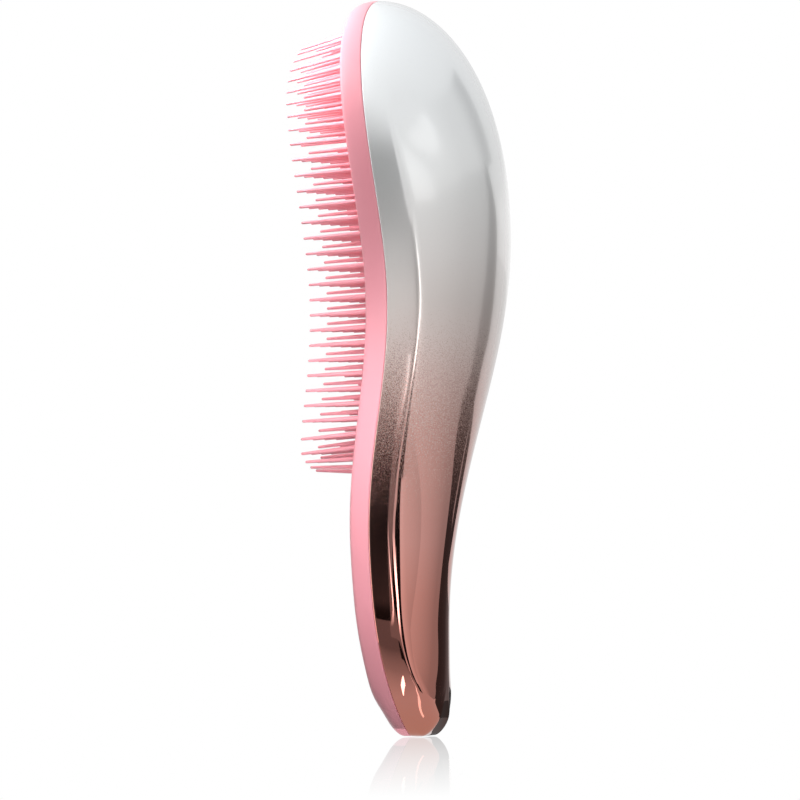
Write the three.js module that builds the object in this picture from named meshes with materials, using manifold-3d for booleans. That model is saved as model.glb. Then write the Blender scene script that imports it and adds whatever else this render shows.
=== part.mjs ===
// A one-handed detangling hair brush, 190 mm long.
// Three mouldings: a domed back shell, a front frame with an oval window, and a flexible pad
// of pins that the frame and the shell clamp between them. The pad's pins stand in four
// zones, each on its own slice of the pad's face.
//
// Frame: Z runs up the brush from the handle end, X is its width, and the pins point to -Y.
// The brush stands on the small flat at its handle end, and the origin lies on that flat.

import * as THREE from 'three';
import { mergeVertices } from 'three/addons/utils/BufferGeometryUtils.js';
import Module from 'manifold-3d';

const wasm = await Module();
wasm.setup();

// ---------------------------------------------------------------- driving sizes, millimetres

// Outline, seen from the front
const LENGTH = 190; // handle end to head top
const HEAD_WIDTH = 67.6; // at the widest line of the head
const HEAD_WIDEST_Z = 140;
const WAIST_WIDTH = 28.2; // the grip
const WAIST_Z = 35;
const FOOT_WIDTH = 10; // flat at the handle end
const END_CURVE = { across: 1.8, up: 2.2 }; // exponents of the handle end's round, 2 an ellipse
const HEAD_CURVE = { across: 2.1, up: 2.4 }; // and of the head's

// Side view: the parting line between shell and frame is an S
const SEAM_FOOT_Y = -0.8;
const SEAM_BELLY_Y = -9.05; // furthest forward, in the grip
const SEAM_BELLY_Z = 49;
const SEAM_HOLLOW_Y = 1.1; // furthest back, behind the pins
const SEAM_HOLLOW_Z = 117;
const HEAD_SWEEP = 0.21; // forward slope of the seam at the head top
const HEAD_SWEEP_START = 20; // length over which that slope builds up

// Back shell: a side wall, a rounded crease and a dome
const SHELL_WALL = 2;
const GRIP_SIDE_HEIGHT = 7; // seam to crease on the grip
const HEAD_SIDE_HEIGHT = 9; // seam to crease on the head
const END_SIDE_RISE = 1.8; // added to that height just above the handle end
const END_RISE_Z = 9;
const END_RISE_REACH = 7;
const TOP_SIDE_FALL = 2.2; // taken from that height at the head top
const SIDE_DRAFT = 0.6; // the wall leans in by this much at the crease
const END_DRAFT = 3.6; // added to that lean at the handle end
const END_DRAFT_REACH = 9; // and it fades out over this length
const END_DRAFT_CURVE = 1.6; // exponent of that lean up the wall
const CREASE_RADIUS = 1.3;
const CREASE_FADE_FROM_Z = 152; // the crease melts into the dome above this
const CREASE_FADE_TO_Z = 172;
const MELT_SHARE = 0.6; // share of the way to the spine where the head's own round has taken over
const GRIP_BACK_Y = 7.4; // ridge line of the dome
const HEAD_BACK_Y = 22.65;
const RIDGE_RISE_FROM_Z = 28;
const SPINE_TOP_Z = 130; // the dome's ridge is highest here
const SPINE_TOP_SOFT = 9; // the turn into the head's round is eased over about this length
const SPINE_FOOT_Z = 14;
const SPINE_FOOT_SOFT = 2;
const DOME_CURVE = 2.1; // exponent of the dome from crease to ridge
const TOP_CURVE = 1.96; // exponent of the head top's curve from seam to ridge
const FOOT_DEPTH = 3.2; // flat of the shell at the handle end

// Front frame
const FRAME_WALL = 2;
const GRIP_BAND = 5.3; // height of the pink band at the grip
const HEAD_BAND = 6.1; // and at the head
const END_BAND_RISE = 0.4; // added where the shell's side rises too
const BAND_DRAFT = 0.8; // the band leans in by this much at its front edge
const TOP_SLOPE = 1.2; // more lean at the head top
const TOP_SLOPE_REACH = 30; // length over which it builds up
const TOP_SLOPE_CURVE = 1.5;
const FOOT_SLOPE = 4.6; // more lean at the handle end
const FOOT_SLOPE_REACH = 7.5; // length over which it fades out
const FOOT_SLOPE_CURVE = 2.4;
const EDGE_RADIUS = 1.2; // front edge of the band
const GRIP_CROWN = 1.8; // the grip's front is crowned by this much
const FRAME_FOOT_DEPTH = 1.4; // flat of the frame at the handle end

// Joint between the two: a tongue on the frame in a rebate in the shell
const PARTING_GAP = 0.2;
const LIP = 1; // what is left of the shell's wall outside the rebate
const REBATE = 1.7;
const TONGUE = 1.3;

// Window and pin pad
const WINDOW_MARGIN = 5.4; // outline to window
const HEEL_Z = 80; // the window's straight sides turn in below this
const WINDOW_END_Z = 66.3;
const CLEARANCE = 0.3;
const PAD_OVERLAP = 1.7; // flange of the pad behind the window's edge
const PAD_THICKNESS = 1.5;
const FACE_RECESS = 1; // pad face below the frame's front
const CUT_PAST = 4; // the window's cutting body passes both faces by this much

// Pins
const PIN_PITCH = 4.07; // along the outer row
const PIN_SPACING = 8; // across a row
const PIN_EDGE = 1.6; // window to the outer row
const SECOND_ROW = 4; // outer row to the second one
const SECOND_ROW_PHASE = 0.4; // of the pitch, above a long row
const LONG_PIN = 17.8;
const MIDDLE_PIN = 14.5;
const SHORT_PIN = 11.6;
const HEEL_PIN_CUT = 2.6; // the lowest pins are shorter by this much
const HEEL_CUT_FROM_Z = 75;
const CROWN_PIN_CUT = 1.3; // and the highest by this much
const CROWN_CUT_FROM_Z = 172;
const PIN_ROOT = 0.62; // half of a pin's width at its root
const PIN_TIP = 0.36; // and at its tip
const PIN_SINK = 0.6; // a pin's root inside the pad's face
const LEAST_GAP = 2.6; // between the axes of two pins
const PIN_SPLAY = 3; // degrees outwards at the widest row
const LOWER_LEAN = 3; // degrees towards the handle, low on the head
const UPPER_LEAN = 5.5; // and high on its sides
const CROWN_LEAN = 11; // added at the crown
const HEEL_LEAN = 4; // added where the window turns in
const HEEL_LEAN_Z = 76;
const HEEL_LEAN_REACH = 4;
const END_LEAN = -5; // added at the window's lower end
const END_LEAN_Z = 67;
const END_LEAN_REACH = 3;
const ZONE_CUT_PHASE = 0.25; // of the pitch, below a long row, where no pin stands

// Inside
const RIB = 1.6;
const PRESS_RIB_Z = [98, 128, 158]; // hold the pad down
const PRESS_RIB_WIDTH = 36;
const PRESS_RIB_HOLE = 5.5; // radius
const GRIP_RIB_Z = [20, 42, 66];
const POST_Z = [31, 54]; // press-fit posts and their bosses
const POST_RADIUS = 1.8;
const BOSS_WALL = 1.5;
const POST_ENTRY = 5; // length of a post inside its boss
const BOSS_END_Y = 2.5; // boss end above the frame's floor

// Facets along the outline
const TOP_STEPS = 15;
const FLANK_STEPS = 17;
const END_STEPS = 12;
const HEEL_STEPS = 8; // round of the window's lower end
const LEAST_STEP = 0.5; // no two levels of the window's edge lie closer above that round
const FINE_EDGE = 6; // times as many steps on the line that the pins are spaced along

// Facets across the brush, as shares of the way
const WALL_SHARE = 0.35; // one row up the shell's side wall
const CREASE_SHARES = [1 / 3, 2 / 3]; // round the crease
const DOME_SHARES = [0.1, 0.2, 0.32, 0.46, 0.62, 0.8, 1]; // crease to ridge
const LINING_INDEX = [1, 2, 8, 9, 10, 11, 12]; // rows of the skin that its lining repeats
const MELTED_ANGLES = [0, 0.12, 0.26, 0.3, 0.34, 0.4, 0.52, 0.66, 0.82, 0.99, 1.17, 1.36, Math.PI / 2];
const BAND_SHARE = 0.4; // one row up the frame's band
const EDGE_ANGLES = [Math.PI / 3, Math.PI / 6]; // round the band's front edge
const FACE_SHARES = [1, 0.75, 0.5, 0.25, 0]; // the grip's front, from its middle to its edge
const FACE_LINING_SHARES = [0.5, 1];
const ROUND_STEPS = 16; // round a post

// ---------------------------------------------------------------- small helpers

const lerp = (a, b, t) => a + (b - a) * t;
const clamp01 = (t) => Math.min(1, Math.max(0, t));

/** Runs from a to b as t runs from 0 to 1, with level ends. */
function ease(a, b, t) {
  return lerp(a, b, (1 - Math.cos(Math.PI * clamp01(t))) / 2);
}

/** The share of the way from one place to another. */
const along = (from, to, value) => (value - from) / (to - from);

/** A closed mesh from points and triangles, with its faces turned outwards. */
function closedMesh(points, triangles) {
  const raw = new THREE.BufferGeometry();
  raw.setAttribute('position', new THREE.Float32BufferAttribute(points.flat(), 3));
  raw.setIndex(triangles.flat());
  const merged = mergeVertices(raw, 1e-3);
  const index = merged.getIndex().array;
  const kept = [];
  for (let i = 0; i < index.length; i += 3) {
    const [a, b, c] = [index[i], index[i + 1], index[i + 2]];
    if (a !== b && b !== c && c !== a) kept.push(a, b, c);
  }
  merged.setIndex(kept);
  if (signedVolume(merged) < 0) {
    for (let i = 0; i < kept.length; i += 3) [kept[i + 1], kept[i + 2]] = [kept[i + 2], kept[i + 1]];
    merged.setIndex(kept);
  }
  return merged;
}

function signedVolume(geometry) {
  const position = geometry.getAttribute('position');
  const index = geometry.getIndex().array;
  const [a, b, c] = [new THREE.Vector3(), new THREE.Vector3(), new THREE.Vector3()];
  let sum = 0;
  for (let i = 0; i < index.length; i += 3) {
    a.fromBufferAttribute(position, index[i]);
    b.fromBufferAttribute(position, index[i + 1]);
    c.fromBufferAttribute(position, index[i + 2]);
    sum += a.dot(b.cross(c)) / 6;
  }
  return sum;
}

function toSolid(geometry) {
  const bare = geometry.clone();
  bare.deleteAttribute('normal');
  bare.deleteAttribute('uv');
  const merged = mergeVertices(bare, 1e-4);
  return new wasm.Manifold(
    new wasm.Mesh({
      numProp: 3,
      vertProperties: new Float32Array(merged.getAttribute('position').array),
      triVerts: new Uint32Array(merged.getIndex().array),
    }),
  );
}

function toGeometry(solid) {
  const mesh = solid.getMesh();
  const geometry = new THREE.BufferGeometry();
  geometry.setAttribute('position', new THREE.Float32BufferAttribute(mesh.vertProperties, 3));
  geometry.setIndex([...mesh.triVerts]);
  geometry.computeVertexNormals();
  return geometry;
}

/** A box given by its lowest and highest corners. */
function block(low, high) {
  const size = high.map((value, i) => value - low[i]);
  const box = new THREE.BoxGeometry(...size);
  box.translate(...low.map((value, i) => value + size[i] / 2));
  return toSolid(box);
}

/** A cylinder along Y between two heights. */
function post(radius, fromY, toY, z) {
  const cylinder = new THREE.CylinderGeometry(radius, radius, toY - fromY, ROUND_STEPS);
  cylinder.translate(0, (fromY + toY) / 2, z);
  return toSolid(cylinder);
}

// ---------------------------------------------------------------- lines of the brush

/** Forward or back place of the parting line. */
function seamY(z) {
  if (z < SEAM_BELLY_Z) {
    const t = along(SEAM_BELLY_Z, 0, z);
    return SEAM_BELLY_Y + (SEAM_FOOT_Y - SEAM_BELLY_Y) * t * t;
  }
  if (z < SEAM_HOLLOW_Z) {
    return ease(SEAM_BELLY_Y, SEAM_HOLLOW_Y, along(SEAM_BELLY_Z, SEAM_HOLLOW_Z, z));
  }
  const up = z - SEAM_HOLLOW_Z;
  return SEAM_HOLLOW_Y - HEAD_SWEEP * (Math.hypot(HEAD_SWEEP_START, up) - HEAD_SWEEP_START);
}

/** 1 at a place, fading to 0 over a reach to both sides of it. */
const near = (place, reach, z) => Math.exp(-(((z - place) / reach) ** 2));

/** Height of the frame's band, from its rim to the front. */
function bandHeight(z) {
  const main = ease(GRIP_BAND, HEAD_BAND, along(WAIST_Z, SEAM_HOLLOW_Z, z));
  return main + END_BAND_RISE * near(END_RISE_Z, END_RISE_REACH, z);
}

const frontY = (z) => seamY(z) - PARTING_GAP - bandHeight(z);
const ridgeY = (z) => ease(GRIP_BACK_Y, HEAD_BACK_Y, along(RIDGE_RISE_FROM_Z, SPINE_TOP_Z, z));

/** Height of the shell's side wall, from the seam to the crease. */
function sideHeight(z) {
  const main = ease(GRIP_SIDE_HEIGHT, HEAD_SIDE_HEIGHT, along(SEAM_BELLY_Z, SEAM_HOLLOW_Z, z));
  const fall = ease(0, TOP_SIDE_FALL, along(SPINE_TOP_Z, CREASE_FADE_TO_Z, z));
  return main - fall + END_SIDE_RISE * near(END_RISE_Z, END_RISE_REACH, z);
}

/** Points of the right-hand outline from the foot to the head top, [x, z]. */
function outline(fine = 1) {
  const points = [[0, 0]];
  const half = { foot: FOOT_WIDTH / 2, waist: WAIST_WIDTH / 2, head: HEAD_WIDTH / 2 };
  points.push([half.foot / 2, 0]);
  for (let i = 0; i < END_STEPS * fine; i++) {
    const angle = (i / (END_STEPS * fine)) * (Math.PI / 2);
    const across = Math.sin(angle) ** (2 / END_CURVE.across);
    const down = Math.cos(angle) ** (2 / END_CURVE.up);
    points.push([lerp(half.foot, half.waist, across), WAIST_Z * (1 - down)]);
  }
  for (let i = 0; i < FLANK_STEPS * fine; i++) {
    const t = i / (FLANK_STEPS * fine);
    points.push([ease(half.waist, half.head, t), lerp(WAIST_Z, HEAD_WIDEST_Z, t)]);
  }
  for (let i = 0; i <= TOP_STEPS * fine; i++) {
    const angle = (i / (TOP_STEPS * fine)) * (Math.PI / 2);
    const across = Math.cos(angle) ** (2 / HEAD_CURVE.across);
    const up = Math.sin(angle) ** (2 / HEAD_CURVE.up);
    const x = i === TOP_STEPS * fine ? 0 : half.head * across;
    points.push([x, lerp(HEAD_WIDEST_Z, LENGTH, up)]);
  }
  return points;
}

/** 0 below zero and the value itself above, with the corner eased. */
const softRamp = (value, soft) =>
  Math.max(0, value) + soft * Math.log1p(Math.exp(-Math.abs(value) / soft));

/** Height of the point on the dome's spine that the outline faces at a height. */
function spineZ(z) {
  const belowTop = SPINE_TOP_Z - softRamp(SPINE_TOP_Z - z, SPINE_TOP_SOFT);
  return SPINE_FOOT_Z + softRamp(belowTop - SPINE_FOOT_Z, SPINE_FOOT_SOFT);
}

/** The whole outline as a loop of stations, each with the spine point that it faces. */
function stations() {
  const right = outline();
  const left = right.slice(1, -1).reverse().map(([x, z]) => [-x, z]);
  return [...right, ...left].map(([x, z]) => {
    const spine = spineZ(z);
    return { x, z, spine, reach: Math.hypot(x, z - spine) };
  });
}

/** Lofts one section round the brush. A section is a list of [inset, y] from spine to spine. */
function loftRound(section) {
  const loop = stations();
  const rows = loop.map((station) =>
    section(station).map(([inset, y]) => {
      const t = Math.min(1, inset / station.reach);
      return [station.x * (1 - t), y, lerp(station.z, station.spine, t)];
    }),
  );
  const width = rows[0].length;
  const triangles = [];
  for (let i = 0; i < rows.length; i++) {
    const next = (i + 1) % rows.length;
    for (let k = 0; k + 1 < width; k++) {
      const [a, b] = [i * width + k, next * width + k];
      triangles.push([a, b, b + 1], [a, b + 1, a + 1]);
    }
  }
  return toSolid(closedMesh(rows.flat(), triangles));
}

// ---------------------------------------------------------------- back shell

/**
 * Outside of the shell at one station: [inset, y] from the seam to the spine. Wall, crease and
 * dome melt into one round curve at the head top, near the crease by height and near the spine
 * by the turn round it.
 */
function shellSkin({ x, z, spine, reach }) {
  const seam = seamY(z);
  const height = sideHeight(z);
  const crease = seam + height;
  const top = ridgeY(spine);
  const lean = SIDE_DRAFT + END_DRAFT * near(0, END_DRAFT_REACH, z);
  const flat = (FOOT_DEPTH / height) * near(0, 2 * END_DRAFT_REACH, z);
  const leanAt = (f) => lean * clamp01(along(flat, 1, f)) ** END_DRAFT_CURVE;
  const wall = (f) => [leanAt(f), lerp(seam, crease, f)];
  const dome = (t) => [lerp(lean, reach, t), lerp(crease, top, 1 - (1 - t) ** DOME_CURVE)];

  const shoulder = 1 - CREASE_RADIUS / height;
  const past = CREASE_RADIUS / (reach - lean);
  const corner = [lean, crease];
  const bend = (s) =>
    corner.map((at, k) => lerp(lerp(wall(shoulder)[k], at, s), lerp(at, dome(past)[k], s), s));
  const creased = [
    ...[0, Math.max(flat, WALL_SHARE), shoulder].map(wall),
    ...CREASE_SHARES.map(bend),
    ...[0, ...DOME_SHARES].map((share) => dome(lerp(past, 1, share))),
  ];

  const meltAtCrease = ease(0, 1, along(CREASE_FADE_FROM_Z, CREASE_FADE_TO_Z, z));
  const meltAtSpine = ease(0, 1, Math.atan2(z - spine, Math.abs(x)) / (Math.PI / 2));
  return creased.map(([inset, y], k) => {
    const melted = ease(meltAtCrease, meltAtSpine, inset / reach / MELT_SHARE);
    const across = Math.cos(MELTED_ANGLES[k]) ** (2 / TOP_CURVE);
    const up = Math.sin(MELTED_ANGLES[k]) ** (2 / TOP_CURVE);
    return [lerp(inset, reach * (1 - across), melted), lerp(y, lerp(seam, top, up), melted)];
  });
}

/** The same skin moved inwards by a wall, without its crease's small radius. */
function shellLining(station, wall) {
  const skin = shellSkin(station);
  return LINING_INDEX.map((k) => {
    if (k === skin.length - 1) return [station.reach, skin[k][1] - wall];
    const [before, after] = [skin[k - 1], skin[k + 1]];
    const run = [after[0] - before[0], after[1] - before[1]];
    const size = Math.hypot(...run);
    return [skin[k][0] + (wall * run[1]) / size, skin[k][1] - (wall * run[0]) / size];
  });
}

function shellSection(station) {
  const seam = seamY(station.z);
  const rebate = [
    [LIP, seam],
    [LIP, seam + REBATE],
    [SHELL_WALL, seam + REBATE],
  ];
  return [...shellSkin(station).reverse(), ...rebate, ...shellLining(station, SHELL_WALL)];
}

/** The space inside the outer skin, reaching forward of the seam, for trimming ribs to it. */
function shellCore() {
  const depth = HEAD_BAND;
  return loftRound((station) => {
    const seam = seamY(station.z);
    const inner = shellLining(station, LIP);
    return [[station.reach, seam - depth], [LIP, seam - depth], [LIP, seam], ...inner];
  });
}

const padBackY = (z) => frontY(z) + FRAME_WALL + CLEARANCE + PAD_THICKNESS;
const floorY = (z) => frontY(z) - GRIP_CROWN + FRAME_WALL;

function backShell() {
  const core = shellCore();
  let shell = loftRound(shellSection);

  for (const z of PRESS_RIB_Z) {
    const middle = (padBackY(z) + ridgeY(z)) / 2;
    const hole = new THREE.CylinderGeometry(PRESS_RIB_HOLE, PRESS_RIB_HOLE, 2 * RIB, 2 * ROUND_STEPS);
    hole.rotateX(Math.PI / 2);
    hole.translate(0, middle, z);
    const half = PRESS_RIB_WIDTH / 2;
    const foot = Math.max(padBackY(z - RIB / 2), padBackY(z + RIB / 2)) + CLEARANCE;
    const rib = block([-half, foot, z - RIB / 2], [half, HEAD_BACK_Y, z + RIB / 2]);
    shell = shell.add(rib.intersect(core).subtract(toSolid(hole)));
  }
  for (const z of GRIP_RIB_Z) {
    const foot = seamY(z) + REBATE;
    const rib = block([-WAIST_WIDTH, foot, z - RIB / 2], [WAIST_WIDTH, HEAD_BACK_Y, z + RIB / 2]);
    shell = shell.add(rib.intersect(core));
  }
  for (const z of POST_Z) {
    const end = floorY(z) + BOSS_END_Y;
    const bore = POST_RADIUS + CLEARANCE;
    const boss = post(bore + BOSS_WALL, end, HEAD_BACK_Y, z).intersect(core);
    shell = shell.add(boss).subtract(post(bore, end - CUT_PAST, end + POST_ENTRY + CLEARANCE, z));
  }
  return shell;
}

// ---------------------------------------------------------------- front frame

/** Lean of the band at its front edge. */
function bandLean(z) {
  const top = clamp01(along(LENGTH - TOP_SLOPE_REACH, LENGTH, z)) ** TOP_SLOPE_CURVE;
  return BAND_DRAFT + TOP_SLOPE * top + FOOT_SLOPE * near(0, FOOT_SLOPE_REACH, z);
}

const crown = (z) => ease(GRIP_CROWN, 0, along(SEAM_BELLY_Z, HEEL_Z, z));

function frameSection({ z, spine, reach }) {
  const rim = seamY(z) - PARTING_GAP;
  const band = bandHeight(z);
  const lean = bandLean(z);
  const flat = (FRAME_FOOT_DEPTH / band) * near(0, 2 * FOOT_SLOPE_REACH, z);
  const edge = 1 - EDGE_RADIUS / band;
  const middle = Math.max(flat, BAND_SHARE);
  const frontAt = (inset) => frontY(lerp(z, spine, inset / reach));
  const wall = (f) => {
    const inset = lean * clamp01(along(flat, 1, f)) ** FOOT_SLOPE_CURVE;
    return [inset, frontAt(inset) + (1 - f) * band];
  };
  const face = (t) => {
    const inset = lerp(lean + EDGE_RADIUS, reach, t);
    return [inset, frontAt(inset) - crown(spine) * (1 - (1 - t) ** 2)];
  };
  const corner = (angle) => {
    const inset = lean + EDGE_RADIUS * (1 - Math.cos(angle));
    return [inset, frontAt(inset) + EDGE_RADIUS * (1 - Math.sin(angle))];
  };

  const outside = [
    ...FACE_SHARES.map(face),
    ...EDGE_ANGLES.map(corner),
    ...[edge, middle].map(wall),
    [0, rim],
  ];
  const tongue = [
    [LIP + PARTING_GAP, rim],
    [LIP + PARTING_GAP, rim + TONGUE],
    [FRAME_WALL, rim + TONGUE],
  ];
  const inside = [
    [FRAME_WALL + wall(middle)[0], wall(middle)[1]],
    [FRAME_WALL + wall(edge)[0], frontAt(FRAME_WALL + wall(edge)[0]) + FRAME_WALL],
    ...FACE_LINING_SHARES.map(face).map(([inset, y]) => [inset, y + FRAME_WALL]),
  ];
  return [...outside, ...tongue, ...inside];
}

/**
 * Edge of the window, or a line at another margin from the outline: [x, z] from its lowest
 * point up the right-hand side to its highest.
 */
function windowEdge(margin, fine = 1) {
  const all = outline(fine);
  const inset = all.map(([x, z], i) => {
    const before = all[Math.max(0, i - 1)];
    const after = all[i + 1] ?? [-all[i - 1][0], all[i - 1][1]];
    const run = [after[0] - before[0], after[1] - before[1]];
    const size = Math.hypot(...run);
    return [x - (margin * run[1]) / size, z + (margin * run[0]) / size];
  });
  const widthAt = (z) => {
    const i = inset.findIndex((point) => point[1] >= z && point[1] > WAIST_Z);
    const [a, b] = [inset[i - 1], inset[i]];
    return lerp(a[0], b[0], along(a[1], b[1], z));
  };
  const lowest = WINDOW_END_Z + margin - WINDOW_MARGIN;
  const heel = [];
  const heelSteps = HEEL_STEPS * fine;
  for (let i = 0; i < heelSteps; i++) {
    const angle = (i / heelSteps) * (Math.PI / 2);
    const z = lerp(HEEL_Z, lowest, Math.cos(angle));
    heel.push([widthAt(z) * Math.sin(angle), z]);
  }
  const above = inset.filter((point) => point[1] > HEEL_Z + LEAST_STEP);
  return [...heel, [widthAt(HEEL_Z), HEEL_Z], ...above];
}

/** A plate that follows the front's S, between two depths behind it and two heights. */
function plate(edge, front, back, low = -Infinity, high = Infinity) {
  const rungs = [];
  edge.forEach(([x, z], i) => {
    const before = edge[i - 1];
    for (const cut of [low, high]) {
      if (before && before[1] < cut && z > cut) {
        rungs.push([lerp(before[0], x, along(before[1], z, cut)), cut]);
      }
    }
    if (z > low + LEAST_STEP && z < high - LEAST_STEP) rungs.push([x, z]);
  });
  const points = rungs.flatMap(([x, z]) => [
    [-x, frontY(z) + front, z],
    [x, frontY(z) + front, z],
    [x, frontY(z) + back, z],
    [-x, frontY(z) + back, z],
  ]);
  const last = points.length - 4;
  const triangles = [
    [0, 1, 2],
    [0, 2, 3],
    [last, last + 2, last + 1],
    [last, last + 3, last + 2],
  ];
  for (let base = 0; base < last; base += 4) {
    for (let k = 0; k < 4; k++) {
      const [a, b] = [base + k, base + ((k + 1) % 4)];
      triangles.push([a, a + 4, b + 4], [a, b + 4, b]);
    }
  }
  return toSolid(closedMesh(points, triangles));
}

function frontFrame() {
  const opening = plate(windowEdge(WINDOW_MARGIN), -CUT_PAST, FRAME_WALL + CUT_PAST);
  let frame = loftRound(frameSection).subtract(opening);
  for (const z of POST_Z) {
    const top = floorY(z) + BOSS_END_Y + POST_ENTRY;
    frame = frame.add(post(POST_RADIUS, floorY(z) - FRAME_WALL / 2, top, z));
  }
  return frame;
}

// ---------------------------------------------------------------- pin pad

const padEdge = () => windowEdge(WINDOW_MARGIN - PAD_OVERLAP);

function pinPad() {
  const front = FRAME_WALL + CLEARANCE;
  return plate(padEdge(), front, front + PAD_THICKNESS);
}

/** Points at an even pitch along the right half of a line, from bottom to top. */
function walk(edge, pitch) {
  const lengths = [0];
  for (let i = 1; i < edge.length; i++) {
    const [a, b] = [edge[i - 1], edge[i]];
    lengths.push(lengths[i - 1] + Math.hypot(b[0] - a[0], b[1] - a[1]));
  }
  const total = lengths[lengths.length - 1];
  const count = Math.round(total / pitch);
  return Array.from({ length: count }, (_, n) => {
    const goal = ((n + 0.5) / count) * total;
    const i = lengths.findIndex((length) => length >= goal);
    const t = along(lengths[i - 1], lengths[i], goal);
    return [lerp(edge[i - 1][0], edge[i][0], t), lerp(edge[i - 1][1], edge[i][1], t)];
  });
}

/** Roots of the outer row's right half, from bottom to top. */
const outerRoots = () => walk(windowEdge(WINDOW_MARGIN + PIN_EDGE, FINE_EDGE), PIN_PITCH);

/** Every pin's root, [x, z, length], row by row. */
function pinRoots(outer) {
  const pins = outer.flatMap(([x, z]) => [[x, z, LONG_PIN], [-x, z, LONG_PIN]]);
  const add = (x, z, length) => {
    const crowded = pins.some((pin) => Math.hypot(pin[0] - x, pin[1] - z) < LEAST_GAP);
    if (!crowded) pins.push([x, z, length]);
  };
  const addBetween = (half, z, length) => {
    const count = Math.round((2 * half) / PIN_SPACING);
    for (let n = 1; n < count; n++) add(lerp(-half, half, n / count), z, length);
  };
  outer.forEach(([x, z], i) => {
    addBetween(x, z, LONG_PIN);
    const above = outer[i + 1];
    if (!above) return;
    const half = (x + above[0]) / 2 - SECOND_ROW;
    if (half < PIN_SPACING / 4) return;
    const second = lerp(z, above[1], SECOND_ROW_PHASE);
    add(half, second, MIDDLE_PIN);
    add(-half, second, MIDDLE_PIN);
    addBetween(half, (z + above[1]) / 2, SHORT_PIN);
  });
  return pins;
}

/** Lean of a pin towards the handle. */
function pinLean(z) {
  const sides = ease(LOWER_LEAN, UPPER_LEAN, along(HEEL_Z, CREASE_FADE_FROM_Z, z));
  const crownLean = ease(0, CROWN_LEAN, along(CREASE_FADE_FROM_Z, LENGTH - WINDOW_MARGIN, z));
  const heelLean = HEEL_LEAN * near(HEEL_LEAN_Z, HEEL_LEAN_REACH, z);
  const endLean = END_LEAN * near(END_LEAN_Z, END_LEAN_REACH, z);
  return THREE.MathUtils.degToRad(sides + crownLean + heelLean + endLean);
}

/** What the pins at the two ends of the field lack in length. */
function pinCut(z) {
  const heel = clamp01(along(HEEL_CUT_FROM_Z, WINDOW_END_Z, z));
  const top = clamp01(along(CROWN_CUT_FROM_Z, LENGTH - WINDOW_MARGIN, z));
  return HEEL_PIN_CUT * heel + CROWN_PIN_CUT * top;
}

/** A four-sided tapered pin from its root in the pad's face. */
function addPin(points, triangles, [x, z, fullLength]) {
  const length = fullLength - pinCut(z);
  const lean = pinLean(z);
  const splay = THREE.MathUtils.degToRad(PIN_SPLAY) * (x / (HEAD_WIDTH / 2));
  const axis = new THREE.Vector3(Math.sin(splay), -Math.cos(lean), -Math.sin(lean)).normalize();
  const root = new THREE.Vector3(x, frontY(z) + FACE_RECESS, z);
  const first = points.length;
  for (const [at, half] of [[-PIN_SINK, PIN_ROOT], [length, PIN_TIP]]) {
    const centre = root.clone().addScaledVector(axis, at);
    for (const [across, up] of [[1, 0], [0, 1], [-1, 0], [0, -1]]) {
      points.push([centre.x + across * half, centre.y, centre.z + up * half]);
    }
  }
  for (let k = 0; k < 4; k++) {
    const [a, b] = [first + k, first + ((k + 1) % 4)];
    triangles.push([a, b, b + 4], [a, b + 4, a + 4]);
  }
  triangles.push([first, first + 2, first + 1], [first, first + 3, first + 2]);
  triangles.push([first + 4, first + 5, first + 6], [first + 4, first + 6, first + 7]);
}

/** One zone of the pad's face with its pins. */
function pinZone(pins, low, high) {
  const edge = windowEdge(WINDOW_MARGIN + CLEARANCE);
  const face = plate(edge, FACE_RECESS, FRAME_WALL, low, high);
  const points = [];
  const triangles = [];
  pins.filter((pin) => pin[1] > low && pin[1] < high).forEach((pin) => addPin(points, triangles, pin));
  return face.add(toSolid(closedMesh(points, triangles)));
}

// ---------------------------------------------------------------- assembly

const pinkAbs = new THREE.MeshStandardMaterial({ color: '#f4b9c3', roughness: 0.35, metalness: 0 });
const platedAbs = new THREE.MeshStandardMaterial({ color: '#b9a7a6', roughness: 0.12, metalness: 0.6 });
const pinkNylon = new THREE.MeshStandardMaterial({ color: '#f59aa8', roughness: 0.45, metalness: 0 });

const brush = new THREE.Group();

function addNode(name, solid, material) {
  const mesh = new THREE.Mesh(toGeometry(solid), material);
  mesh.name = name;
  brush.add(mesh);
}

addNode('back_shell', backShell(), platedAbs);
addNode('front_frame', frontFrame(), pinkAbs);
addNode('bristle_pad', pinPad(), pinkNylon);

const zoneNames = ['bristles_heel', 'bristles_lower', 'bristles_upper', 'bristles_crown'];
const outerRow = outerRoots();
const pins = pinRoots(outerRow);
const zoneCuts = zoneNames.slice(1).map((_, i) => {
  const wanted = lerp(WINDOW_END_Z, LENGTH - WINDOW_MARGIN, (i + 1) / zoneNames.length);
  const row = outerRow.findIndex((root) => root[1] > wanted);
  return lerp(outerRow[row][1], outerRow[row - 1][1], ZONE_CUT_PHASE);
});
const bounds = [-Infinity, ...zoneCuts, Infinity];
zoneNames.forEach((name, i) => {
  const zone = pinZone(pins, bounds[i] + CLEARANCE / 2, bounds[i + 1] - CLEARANCE / 2);
  addNode(name, zone, pinkNylon);
});

export default brush;
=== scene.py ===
import math

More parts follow.
